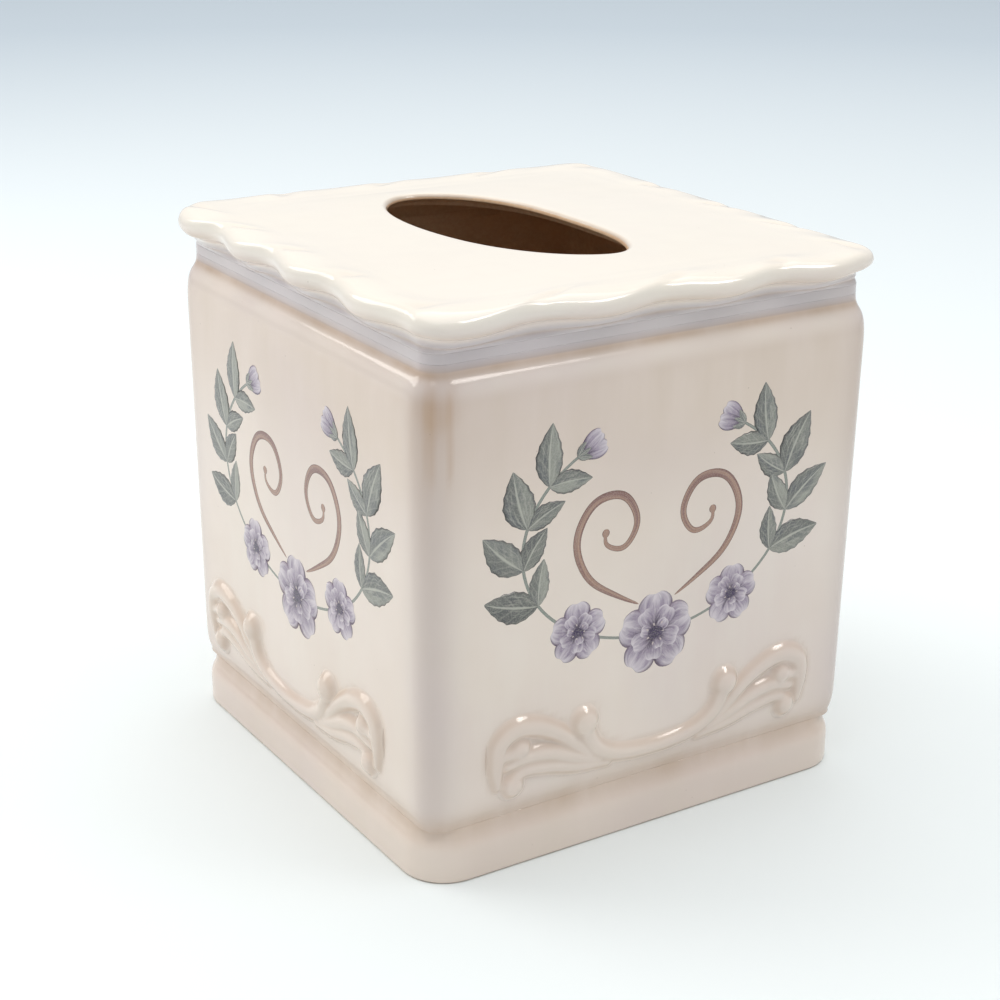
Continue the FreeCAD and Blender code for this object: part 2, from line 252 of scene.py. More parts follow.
def hand_out(tree, shape, material):
    """Makes a tree's shape real, smooth and painted, and hands it out."""
    real = add_node(tree, "GeometryNodeRealizeInstances", {"Geometry": shape})
    smooth = add_node(tree, "GeometryNodeSetShadeSmooth", {"Geometry": real})
    painted = add_node(tree, "GeometryNodeSetMaterial", {"Geometry": smooth, "Material": material})
    add_node(tree, "NodeGroupOutput", {0: painted})


def moulding_tree():
    """Geometry nodes: a profile taken round a square with rounded corners."""
    tree, given = new_tree("moulding_round_a_square", {
        "Profile": "Geometry", "Half width": "Float", "Corner radius": "Float", "Step length": "Float",
        "Corner steps": "Int", "Material": "Material"}, "Mesh")
    width = worked_out(tree, "MULTIPLY", given["Half width"], 2.0)
    square = add_node(tree, "GeometryNodeCurvePrimitiveQuadrilateral", {"Width": width, "Height": width})
    rounded = add_node(tree, "GeometryNodeFilletCurve", {
        "Curve": square, "Count": given["Corner steps"], "Radius": given["Corner radius"]},
        mode="POLY")
    even = add_node(tree, "GeometryNodeResampleCurve", {"Curve": rounded, "Length": given["Step length"]},
                    mode="LENGTH")
    upright = add_node(tree, "GeometryNodeSetCurveNormal", {"Curve": even}, mode="Z_UP")
    swept = add_node(tree, "GeometryNodeCurveToMesh", {"Curve": upright, "Profile Curve": given["Profile"]})
    hand_out(tree, swept, given["Material"])
    return tree


def outward(mesh):
    """Points the faces of a closed mesh outwards, once its doubled points are merged."""
    work = bmesh.new()
    work.from_mesh(mesh)
    bmesh.ops.remove_doubles(work, verts=work.verts, dist=0.002 * mm)
    bmesh.ops.recalc_face_normals(work, faces=work.faces)
    work.to_mesh(mesh)
    work.free()


def made_by(source, tree, values):
    """The plain mesh that a node tree, given its named values, makes out of a source object."""
    modifier = source.modifiers.new("made", "NODES")
    modifier.node_group = tree
    for item in tree.interface.items_tree:
        if item.in_out == "INPUT" and item.name in values:
            modifier[item.identifier] = values[item.name]
    bpy.context.view_layer.update()
    graph = bpy.context.evaluated_depsgraph_get()
    mesh = bpy.data.meshes.new_from_object(source.evaluated_get(graph), depsgraph=graph)
    bpy.data.objects.remove(source)
    return mesh


def show(name, shape):
    """Puts a mesh, a curve, a lamp or the camera in the scene under its name."""
    shown = bpy.data.objects.new(name, shape)
    bpy.context.scene.collection.objects.link(shown)
    return shown


def moulding(name, corners, half, corner):
    """A closed moulding all round the square, from its softened profile."""
    line = bpy.data.curves.new(name + "_profile", "CURVE")
    line.dimensions = "2D"
    line.fill_mode = "NONE"
    spline = line.splines.new("POLY")
    points = softened(corners)
    spline.points.add(len(points) - 1)
    for point, place in zip(spline.points, points):
        point.co = (place.x - half, -place.y, 0.0, 1.0)
    spline.use_cyclic_u = True
    mesh = made_by(show(name + "_profile", line), round_the_square, {
        "Half width": half, "Corner radius": corner, "Step length": side_step,
        "Corner steps": corner_steps, "Material": glaze})
    mesh.name = name
    outward(mesh)
    return show(name, mesh)


def store(mesh, name, values, kind="FLOAT", field="value"):
    """Stores a value for each point of a mesh."""
    mesh.attributes.new(name, kind, "POINT").data.foreach_set(field, values)


def store_per_point(piece, depth_at, name="pooled_and_painted_shade"):
    """Stores a value at each point under a name: tan glaze pooling with painted shade, painted cool
    reflection and shade, or painted top light.
    """
    store(piece.data, name, [depth_at(point.co) for point in piece.data.vertices])


def bare(piece, is_bare):
    """Gives the faces that the glaze leaves out the bare clay."""
    mesh = piece.data
    mesh.materials.append(biscuit)
    for polygon in mesh.polygons:
        if is_bare(polygon.center, polygon.normal):
            polygon.material_index = 1


def depth_in(at, half, corner):
    """How far a point lies inside the outline of a square with rounded corners."""
    across = abs(at.x) - (half - corner)
    along = abs(at.y) - (half - corner)
    return corner - math.hypot(max(across, 0), max(along, 0)) - min(max(across, along), 0)


def bell(distance, reach):
    """1 at no distance, falling softly to 0 beyond the reach."""
    return math.exp(-(distance / reach) ** 2)


round_the_square = moulding_tree()
# The corners of a profile: how far out, how high, and how far back its rounding begins
foot_profile = (
    (foot_half - standing_width, 0.0, 0.8 * mm),
    (foot_half, 0.0, 1.1 * mm),
    (foot_half, groove_z - cove_height, 2.2 * mm),
    (groove_half + cove_turn_out, groove_z - cove_turn_height, 2.0 * mm),
    (groove_half, groove_z, 0.2 * mm),
    (groove_half - clay, groove_z, 0.2 * mm),
)
foot = moulding("foot_ring", foot_profile, foot_half, foot_corner)
# A light tan tint over the whole foot, with painted tan shade deepening towards the groove
store_per_point(foot, lambda at: 0.14 + 0.4 * bell(at.z - groove_z, groove_shade_reach))
bare(foot, lambda at, way: way.z < -0.8 or depth_in(at, foot_half, foot_corner) > clay * 0.8)
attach(foot, "root")
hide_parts("plinth_ring")


# The walls: four drafted faces in one slip-cast body, with a rolled foot that swells out of the
# groove and a soft rolled shoulder under the neck. Hollow, open below, its clay as thick all over.
wall_half = 70.0 * mm
wall_corner = 8.4 * mm
wall_foot_half = 68.9 * mm
wall_foot_z = 24.5 * mm
wall_top_z = 128.0 * mm
shoulder_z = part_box("body_wall")[1].z
seam_z = shoulder_z + 2.4 * mm
neck_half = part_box("neck_collar")[1].x
neck_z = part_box("neck_collar")[1].z
# The drips of glaze below a corner, in millimetres: how far off it, how wide, how long, how thick
drips = ((3.0, 5.5, 5.5, 0.28), (0.4, 1.9, 19.0, 0.38), (6.8, 1.5, 17.0, 0.38))
wall_profile = (
    (groove_half, groove_z, 0.2 * mm),
    (groove_half, groove_z + 1.3 * mm, 1.3 * mm),
    (groove_half + 0.8 * mm, groove_z + 3.4 * mm, 1.6 * mm),
    (wall_foot_half, wall_foot_z - 2.0 * mm, 3.2 * mm),
    (wall_half, wall_top_z, 3.6 * mm),
    (wall_half - 0.7 * mm, wall_top_z + 4.6 * mm, 2.4 * mm),
    (neck_half + 0.2 * mm, shoulder_z - 0.2 * mm, 1.6 * mm),
    (neck_half, seam_z, 0.1 * mm),
    (neck_half - clay, seam_z, 0.1 * mm),
    (wall_half - clay, wall_top_z, 3.0 * mm),
    (wall_foot_half - clay, wall_foot_z, 3.0 * mm),
    (groove_half - clay, groove_z, 0.2 * mm),
)
wall = moulding("cast_wall", wall_profile, wall_half, wall_corner)


def soft_step(distance, softness):
    """0 before a line and 1 past it, with a soft turn between."""
    return 1 / (1 + math.exp(-distance / softness))


def clamped(value):
    """A value, held between 0 and 1."""
    return min(max(value, 0), 1)


def off_edge(at):
    """How far a point lies from the nearest upright edge of the walls."""
    return math.hypot(abs(at.x) - wall_half, abs(at.y) - wall_half)


def wall_pooling_and_shade(at):
    """Glaze gathers in drips below two corners and pools tan in the crease over the shoulder. Painted tan
    shade darkens that crease, the groove, the upper wall under the rim and the wall along each corner.
    """
    crease = 0.6 * bell(at.z - shoulder_z, 1.3 * mm)
    groove = 0.5 * bell(at.z - groove_z, groove_shade_reach)
    off_corner = (at.x - at.y if at.x * at.y > 0 else 1.0) / mm
    below = (wall_top_z - at.z) / mm
    dripped = 0.0
    for place, width, length, thick in drips:
        fade = soft_step(length - below, 1.3) * soft_step(below + 5.0, 1.5)
        narrower = width * (1 - 0.55 * clamped(below / length) ** 2)
        dripped += thick * bell(off_corner - place, narrower) * fade
    # Painted shade: the upper wall darker towards the overhang of the rim
    painted_shade_up = 0.3 * bell(max(wall_top_z - 4 * mm - at.z, 0), 30 * mm) * bell(max(-below - 0.5, 0), 3.0)
    # Painted shade also darkens the wall along each upright corner
    return min(1.0, crease + groove + dripped + painted_shade_up + 0.26 * bell(off_edge(at), 7.0 * mm))


store_per_point(wall, wall_pooling_and_shade)


def wall_painted_cool_shade(at):
    """Painted lavender-grey reflection and shade over the crease under the rim, and a little down the
    corners.
    """
    return 0.5 if at.z > shoulder_z + 0.5 * mm else 0.42 * bell(off_edge(at), 8.0 * mm)


store_per_point(wall, wall_painted_cool_shade, "painted_cool_shade")
bare(wall, lambda at, way: depth_in(at, wall_half, wall_corner) > clay * 0.85)
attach(wall, "root")
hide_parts("body_wall")


# The neck: the short upright band between shoulder and rim, where a finger runs round the cover.
# Part of the same casting, under the overhang of the rim.
neck_corner = wall_corner - (wall_half - neck_half)
neck_profile = (
    (neck_half, seam_z, 0.1 * mm),
    (neck_half, neck_z, 0.1 * mm),
    (neck_half - clay, neck_z, 0.1 * mm),
    (neck_half - clay, seam_z, 0.1 * mm),
)
neck = moulding("neck_band", neck_profile, neck_half, neck_corner)
# Painted lavender-grey reflection and shade all over the neck, under the overhang of the rim
store_per_point(neck, lambda at: 0.5, "painted_cool_shade")
bare(neck, lambda at, way: depth_in(at, neck_half, neck_corner) > clay * 0.5)
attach(neck, "root")
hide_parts("neck_collar")


# The top: a plate with an oval opening, drawn out all round into a scalloped rim like the edge of
# a pie. Each lobe reaches out and droops, and its fold leans inwards over the plate. One casting,
# with a thick rounded bead at the edge and a stepped band under it.
rim_half = neck_half + 4.5 * mm
rim_corner = 8.7 * mm
rim_straight = rim_half - rim_corner
rim_arc = math.pi / 2 * rim_corner
rim_side = 2 * rim_straight + rim_arc
rim_height = 10.15 * mm
rim_sag = 0.75 * mm
body_axis = wall_half - wall_corner
lobes_per_side = 4
lobe_reach = 1.2 * mm
lobe_droop = 0.45 * mm
lobe_lean = 11.0 * mm
first_lobe = 13.7 * mm
lobe_drift_share = 0.16
lobe_drift_cycles = 2
lobe_drift_start_share = 0.54
opening_half_width = 21.3 * mm
opening_half_length = neck_half - 23.5 * mm
opening_middle = Vector((-2.2, 5.8)) * mm
opening_turn = math.radians(6.0)
opening_lip = 1.6 * mm
opening_flare = 1.8
plate_thickness = 4.0 * mm
plate_crown = 0.25 * mm
plate_rings = 14
lip_rings = 8
ceiling_round = 3.0 * mm
inner_corner = 0.9 * mm
glaze_ends_below = 1.9 * mm
top_light_from = 5.5 * mm
cool_shade_up_to = 3.6 * mm
# The oval was cut freehand: how far its edge lies from the true oval, as a factor, going round
cut_angles = (-180, -154, -131, -105, -85, -72, -53, -40, -18, -6, 14, 30, 48, 68, 93, 117, 139, 180)
cut_factors = (1.00, 1.01, 0.98, 0.98, 1.04, 1.075, 1.075, 1.03, 0.955, 0.94, 1.01, 1.04, 1.02, 0.98,
               0.975, 0.985, 1.00, 1.00)
fold_depth = 0.6 * mm
fold_width = 2.6 * mm
rim_points = 160
straight_points = round(rim_points * 2 * rim_straight / rim_side)
# Rim sections from the neck out over the bead and in across the plate: how far out between neck
# and rim, how high in the rim, how much of the lobes' wave, how much of their lean
rim_sections = (
    (0.00, 0.00, 0.00, 0.0),
    (0.05, 0.12, 0.40, 0.0),
    (0.15, 0.17, 0.65, 0.0),
    (0.24, 0.28, 0.80, 0.0),
    (0.45, 0.38, 0.92, 0.0),
    (0.86, 0.46, 1.00, 0.0),
    (1.00, 0.63, 1.00, 0.0),
    (0.91, 0.83, 1.00, 0.1),
    (0.62, 0.95, 0.90, 0.3),
    (0.18, 0.99, 0.75, 0.5),
    (-0.32, 1.00, 0.52, 0.7),
    (-0.84, 0.99, 0.26, 0.9),
    (-1.38, 0.98, 0.08, 1.0),
    (-1.94, 0.98, 0.00, 1.0),
    (-2.50, 0.98, 0.00, 1.0),
)
corner_grown_share = 0.38


def through(rows, steps):
    """A smooth run through the rows of a table, with so many steps between two rows."""
    table = np.array(rows, float)
    padded = np.vstack([2 * table[0] - table[1], table, 2 * table[-1] - table[-2]])
    run = []
    for index in range(len(table) - 1):
        a, b, c, d = padded[index:index + 4]
        for step in range(steps):
            t = step / steps
            run.append(0.5 * (2 * b + (c - a) * t + (2 * a - 5 * b + 4 * c - d) * t ** 2
                              + (3 * b - a - 3 * c + d) * t ** 3))
    run.append(table[-1])
    return run


def round_the_rim(half, corner):
    """A rounded square in as many points as the rim: each with its side's number, its place, the way
    outwards and how far on it lies, measured along the rim's own side."""
    straight = half - corner
    for turn in range(4):
        swing = Matrix.Rotation(turn * math.pi / 2, 3, "Z")
        for step in range(rim_points):
            if step < straight_points:
                share = step / straight_points
                way = Vector((0, -1, 0))
                place = Vector((straight * (2 * share - 1), -half, 0))
                run = 2 * rim_straight * share
            else:
                share = (step - straight_points) / (rim_points - straight_points)
                angle = math.pi / 2 * share
                way = Vector((math.sin(angle), -math.cos(angle), 0))
                place = Vector((straight, -straight, 0)) + way * corner
                run = 2 * rim_straight + rim_arc * share
            yield turn, swing @ place, swing @ way, run


def lobe_phase(turn, run):
    """How far on through its lobe a place on the rim is: 0 and 1 on a crest, a half between two."""
    along = run / rim_side
    drift = math.sin(2 * math.pi * (lobe_drift_cycles * (turn + along) / 4 - lobe_drift_start_share))
    return (lobes_per_side * along + lobe_drift_share * drift) % 1


def fold_share(height_share, out_share):
    """Where the pinched folds between the lobes cross the rim: over the bead and a little way in."""
    return bell(out_share - 0.1, 0.7) * clamped((height_share - 0.5) / 0.3)


def wavy_ring(out_share, height_share, wave_share, lean_share):
    """One closed line of points round the rim."""
    half = neck_half + (rim_half - neck_half) * out_share
    neck_round = neck_half - body_axis
    grown = clamped(height_share / corner_grown_share)
    corner = neck_round + (rim_corner - neck_round) * grown
    shift = rim_corner - first_lobe - lobe_lean * lean_share
    ring = []
    for turn, place, way, run in round_the_rim(half, corner):
        phase = lobe_phase(turn, run + shift)
        wave = math.cos(2 * math.pi * phase) * wave_share
        off_fold = (phase - 0.5) * rim_side / lobes_per_side
        steep = 1.0 if off_fold > 0 else 2.0
        fold = bell(off_fold, fold_width * steep) * fold_share(height_share, out_share)
        point = place + way * (lobe_reach * wave - fold_depth * fold)
        point.z = neck_z + rim_height * height_share - lobe_droop * wave - fold_depth * fold
        point.z -= rim_sag * height_share * point.x / wall_half
        # The fourth number: tan glaze pooling and painted shade in the fold dents
        ring.append(Vector((*point, 0.12 * fold)))
    return ring


def oval_ring(guide, half_width, half_length, z, sag_share=1.0, tint=0.0):
    """A ring round the opening, each point of it towards the same point of the guide ring."""
    swing = Matrix.Rotation(opening_turn, 2)
    ring = []
    for point in guide:
        x, y = swing.inverted() @ (point.xy - opening_middle)
        bearing = math.degrees(math.atan2(y / half_length, x / half_width))
        nearby = [bearing + offset for offset in range(-12, 13, 4)]
        cut = np.mean(np.interp(nearby, cut_angles, cut_factors, period=360))
        far = math.hypot(x / half_width, y / half_length) / cut
        place = opening_middle + swing @ Vector((x / far, y / far))
        ring.append(Vector((place.x, place.y, z - rim_sag * sag_share * place.x / wall_half, tint)))
    return ring


def skin(name, rings):
    """A closed tube of quads through the rings, the last joined to the first. The fourth number of
    each point is how much tan glaze pooling and painted shade it carries."""
    count = len(rings[0])
    points = [point for ring in rings for point in ring]
    faces = []
    for index in range(len(rings)):
        here = index * count
        after = (index + 1) % len(rings) * count
        for step in range(count):
            ahead = (step + 1) % count
            faces.append((here + step, here + ahead, after + ahead, after + step))
    mesh = bpy.data.meshes.new(name)
    mesh.from_pydata([point.to_3d() for point in points], [], faces)
    store(mesh, "pooled_and_painted_shade", [point.w for point in points])
    mesh.materials.append(glaze)
    mesh.shade_smooth()
    outward(mesh)
    return show(name, mesh)


def square_ring(half, corner, z):
    """A plain rounded square ring, with no glaze, in as many points as the rim's."""
    return [Vector((place.x, place.y, z, 0.0)) for turn, place, way, run in round_the_rim(half, corner)]


def top_rings():
    """The rings from the neck out over the rim, in over the plate, down the opening and back."""
    rings = []
    for out_share, height_share, wave_share, lean_share in through(rim_sections, 4):
        ring = wavy_ring(out_share, height_share, wave_share, lean_share)
        for point in ring:
            # Painted shade: a thin dark line just under the bead and a wider band over the bead's underside
            point.w += 0.4 * bell(height_share - 0.13, 0.04) + 0.28 * bell(height_share - 0.46, 0.1)
        rings.append(ring)
    edge = rings[-1]
    plate_z = neck_z + rim_height * rim_sections[-1][1]

    def oval(grow, z, sag_share=1.0, tint=0.0):
        return oval_ring(edge, opening_half_width + grow, opening_half_length + grow, z, sag_share, tint)

    lip_start = oval(opening_lip, plate_z + plate_crown)
    for step in range(1, plate_rings):
        share = step / plate_rings
        ring = [a.lerp(b, share) for a, b in zip(edge, lip_start)]
        for point in ring:
            point.z += plate_crown * (math.sin(math.pi / 2 * share) - share)
        rings.append(ring)
    for step in range(lip_rings + 1):
        angle = math.pi / 2 * step / lip_rings
        z = plate_z + plate_crown - opening_lip * (1 - math.cos(angle))
        # Painted shade, deepening down the lip into the opening
        rings.append(oval(opening_lip * (1 - math.sin(angle)), z, tint=step / lip_rings))
    ceiling = plate_z - plate_thickness
    under = plate_thickness - opening_lip
    for step in range(1, lip_rings + 1):
        angle = math.pi / 2 * step / lip_rings
        # Painted shade at half strength under the lip
        rings.append(oval(opening_flare * under * math.sin(angle), ceiling + under * math.cos(angle), 0.5))
    inner = neck_half - clay
    rings.append(square_ring(inner - ceiling_round, ceiling_round, ceiling))
    rings.append(square_ring(inner, inner_corner, ceiling - ceiling_round / 2))
    rings.append(square_ring(inner, inner_corner, neck_z))
    return rings


top = skin("scalloped_top", top_rings())


def under_the_glaze(at, way):
    """The glaze stops on the lip of the opening, and the underside of the plate has none."""
    inside = depth_in(at, neck_half, neck_corner) > clay * 0.5
    return inside and way.z < 0.7 and at.z < cad_high.z - glaze_ends_below


# Painted light: the upper bead and the level top whiter, where the light from above falls
store_per_point(top, lambda at: 0.65 * clamped((at.z - neck_z - top_light_from) / (3.0 * mm)), "painted_top_light")
# Painted lavender-grey reflection and shade on the underside of the rim, fading out upwards
store_per_point(top, lambda at: 0.5 * clamped((neck_z + cool_shade_up_to - at.z) / (1.6 * mm)), "painted_cool_shade")
bare(top, under_the_glaze)
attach(top, "root")
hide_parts("top_plate")


# The reliefs: an acanthus scroll low on each face, rolled out of the same clay, luted on and glazed
# over with the body. The front one sits a little right of the middle and the left one well back.
relief_half_span = 50.0 * mm
relief_height = 20.5 * mm
relief_base = 20.5 * mm
relief_thick = 3.4 * mm
relief_rise = 2.3 * mm
relief_cell = 0.3 * mm
relief_softenings = 3
relief_sunk = 0.05 * mm
relief_root = 1.0 * mm
thinnest_clay = 0.02 * mm
# The field of heights that a scroll is cut out of starts so far under its base
field_half_width = 53.0 * mm
field_drop = 3.5 * mm
field_height = 29.0 * mm
beside_scroll_height = 24.0 * mm
relief_shifts = (0.9 * mm, 0.0, 0.0, -6.0 * mm)
sides = ("front", "right", "back", "left")
# The rolled straps of its right half, in shares: across the half span, up the height, how thick
straps = (
    ((-0.14, 0.15, 0.80), (0.00, 0.13, 0.76), (0.14, 0.15, 0.80), (0.28, 0.22, 0.84), (0.38, 0.36, 0.90),
     (0.43, 0.54, 0.96), (0.455, 0.76, 0.96)),
    ((0.42, 0.28, 0.50), (0.51, 0.49, 0.74), (0.62, 0.72, 0.84), (0.75, 0.89, 0.94), (0.88, 0.94, 1.00),
     (0.98, 0.79, 0.98), (1.00, 0.50, 0.84), (0.99, 0.20, 0.50)),
    ((0.98, 0.60, 0.70), (0.92, 0.62, 0.76), (0.87, 0.65, 0.86)),
    ((0.93, 0.44, 0.56), (0.80, 0.52, 0.80), (0.66, 0.47, 0.84), (0.52, 0.32, 0.76), (0.36, 0.17, 0.50)),
    ((0.93, 0.22, 0.50), (0.83, 0.33, 0.70), (0.68, 0.29, 0.74), (0.50, 0.17, 0.66), (0.30, 0.09, 0.44)),
)
beads = ((0.46, 0.77, 1.42), (0.86, 0.65, 1.10), (0.90, 0.16, 1.12))


def strap_field(across, up):
    """The height of the relief at each spot of the flat face, and how far off its nearest strap is."""
    powers = np.zeros_like(across)
    nearest = np.full_like(across, 1.0)
    lines = [through(rows, 5) for rows in straps] + [[bead, bead] for bead in beads]
    for line in lines:
        spots = np.array(line)
        places = np.stack([spots[:, 0] * relief_half_span, relief_base + spots[:, 1] * relief_height], 1)
        reach = relief_thick * spots[:, 2]
        share_off = np.full_like(across, 9.0)
        rise = np.zeros_like(across)
        for start, end, first, last in zip(places, places[1:], reach, reach[1:]):
            way = end - start
            span = max(way @ way, 1e-12)
            along = np.clip(((across - start[0]) * way[0] + (up - start[1]) * way[1]) / span, 0, 1)
            off = np.hypot(across - start[0] - along * way[0], up - start[1] - along * way[1])
            wide = first + (last - first) * along
            closer = off / wide < share_off
            share_off = np.where(closer, off / wide, share_off)
            rise = np.where(closer, relief_rise * wide / relief_thick, rise)
            nearest = np.minimum(nearest, off - wide * 0.75)
        powers += (rise * (1 - np.minimum(share_off, 1) ** 2) ** 0.9) ** 6
    return powers ** (1 / 6), nearest


def painted_shade_beside(away):
    """How much painted tan shade lies beside a strap, at so far from its edge."""
    return 0.36 * np.exp(-(np.maximum(away, -1 * mm) / (1.1 * mm)) ** 2)


def relief_mesh():
    """One scroll on a flat face: a skin over the straps, closed behind inside the wall."""
    half_columns = int(field_half_width / relief_cell)
    columns = np.arange(-half_columns, half_columns + 1) * relief_cell
    rows = relief_base - field_drop + np.arange(int(field_height / relief_cell)) * relief_cell
    across, up = np.meshgrid(columns, rows)
    height, away = strap_field(np.abs(across), up)
    for softening in range(relief_softenings):
        padded = np.pad(height, 1, mode="edge")
        padded = (padded[:-2] + 2 * padded[1:-1] + padded[2:]) / 4
        height = (padded[:, :-2] + 2 * padded[:, 1:-1] + padded[:, 2:]) / 4
    kept = height > thinnest_clay
    kept[:-1] |= kept[1:]
    kept[1:] |= kept[:-1]
    kept[:, :-1] |= kept[:, 1:]
    kept[:, 1:] |= kept[:, :-1]
    cells = kept[:-1, :-1] & kept[1:, :-1] & kept[:-1, 1:] & kept[1:, 1:]
    work = bmesh.new()
    pooled_and_painted_shade = work.verts.layers.float.new("pooled_and_painted_shade")
    made = {}

    def corner(row, column, front):
        key = (row, column, front)
        if key not in made:
            lift = height[row, column] - relief_sunk if front else -relief_root
            made[key] = work.verts.new((across[row, column], up[row, column], lift))
            made[key][pooled_and_painted_shade] = float(painted_shade_beside(away[row, column])) if front else 0.0
        return made[key]

    for row, column in zip(*np.nonzero(cells)):
        around = ((row, column), (row, column + 1), (row + 1, column + 1), (row + 1, column))
        work.faces.new([corner(r, c, True) for r, c in around])
        work.faces.new([corner(r, c, False) for r, c in reversed(around)])
        beyond = ((row - 1, column), (row, column + 1), (row + 1, column), (row, column - 1))
        for side, (r, c) in enumerate(beyond):
            if not (0 <= r < cells.shape[0] and 0 <= c < cells.shape[1] and cells[r, c]):
                a, b = around[side], around[(side + 1) % 4]
                work.faces.new([corner(*b, True), corner(*a, True), corner(*a, False), corner(*b, False)])
    mesh = bpy.data.meshes.new("relief")
    work.to_mesh(mesh)
    work.free()
    mesh.materials.append(glaze)
    mesh.shade_smooth()
    return mesh


wall_lean = (wall_half - wall_foot_half) / (wall_top_z - wall_foot_z)


def laid_on_wall(name, flat, turn, shift=0.0):
    """A copy of what is drawn flat (across, up, off the face), carried to one of the drafted walls."""
    face_out = wall_foot_half - wall_lean * wall_foot_z
    upright = Matrix(((1, 0, 0, shift), (0, -wall_lean, -1, -face_out), (0, 1, 0, 0), (0, 0, 0, 1)))
    laid = flat.copy()
    laid.name = name
    laid.transform(Matrix.Rotation(turn * math.pi / 2, 4, "Z") @ upright)
    return show(name, laid)


scroll = relief_mesh()
for turn, side in enumerate(sides):
    relief = laid_on_wall("acanthus_" + side, scroll, turn, relief_shifts[turn])
    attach(relief, "root")
    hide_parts("relief_" + side)
bpy.data.meshes.remove(scroll)

# The same painted shade on the wall beside the scrolls
spots = np.empty(len(wall.data.vertices) * 3)
wall.data.vertices.foreach_get("co", spots)
spots = spots.reshape(-1, 3)
pooling_and_shade_on_wall = np.empty(len(spots))
wall.data.attributes["pooled_and_painted_shade"].data.foreach_get("value", pooling_and_shade_on_wall)
for turn in range(4):
    angle = -turn * math.pi / 2
    across = spots[:, 0] * math.cos(angle) - spots[:, 1] * math.sin(angle) - relief_shifts[turn]
    front = spots[:, 0] * math.sin(angle) + spots[:, 1] * math.cos(angle)
    there = (front < -groove_half) & (spots[:, 2] < wall_foot_z + beside_scroll_height)
    away = strap_field(np.abs(across[there]), spots[there, 2])[1]
    pooling_and_shade_on_wall[there] = np.minimum(1.0, pooling_and_shade_on_wall[there] + painted_shade_beside(away))
wall.data.attributes["pooled_and_painted_shade"].data.foreach_set("value", pooling_and_shade_on_wall)


# The prints: an oval garland of grey-green leaves with three lavender blossoms at its foot and a
# pair of brown tendrils inside it. A ceramic transfer, painted in loose strokes, fired on under a
# last thin gloss, so that its marks stand less than 0.15 mm off the wall.
garland_half_width = 42.0 * mm
garland_half_height = 30.0 * mm
garland_middle_z = 86.5 * mm
garland_end = math.radians(146)
first_leaves = math.radians(62)
leaf_pairs = 4
leaf_length_share = 0.405
leaf_width_share = 0.215
inner_leaf_share = 0.74
big_blossom_share = 0.298
small_blossom_share = 0.214
small_blossom_turn = math.radians(36)
tendril_half_width = 1.25 * mm
tendril_knob = 1.2 * mm
vine_half_width = 0.62 * mm
mark_thickness = 0.045 * mm
mark_sunk = 0.02 * mm
kinds = ("leaf", "petal", "heart", "scroll", "stem")
# The petals of a blossom's three layers: how many, how long and how wide, in shares of its radius
petal_layer_shares = ((5, 1.0, 0.9), (5, 0.68, 0.66), (3, 0.42, 0.42))
# A tendril from beside the middle blossom to its curled tip, in shares of the half width and height
curl_shares = ((0.30, -0.56), (0.52, -0.34), (0.62, 0.02), (0.50, 0.34), (0.28, 0.36), (0.17, 0.10),
               (0.26, -0.12), (0.40, -0.06), (0.40, 0.10))


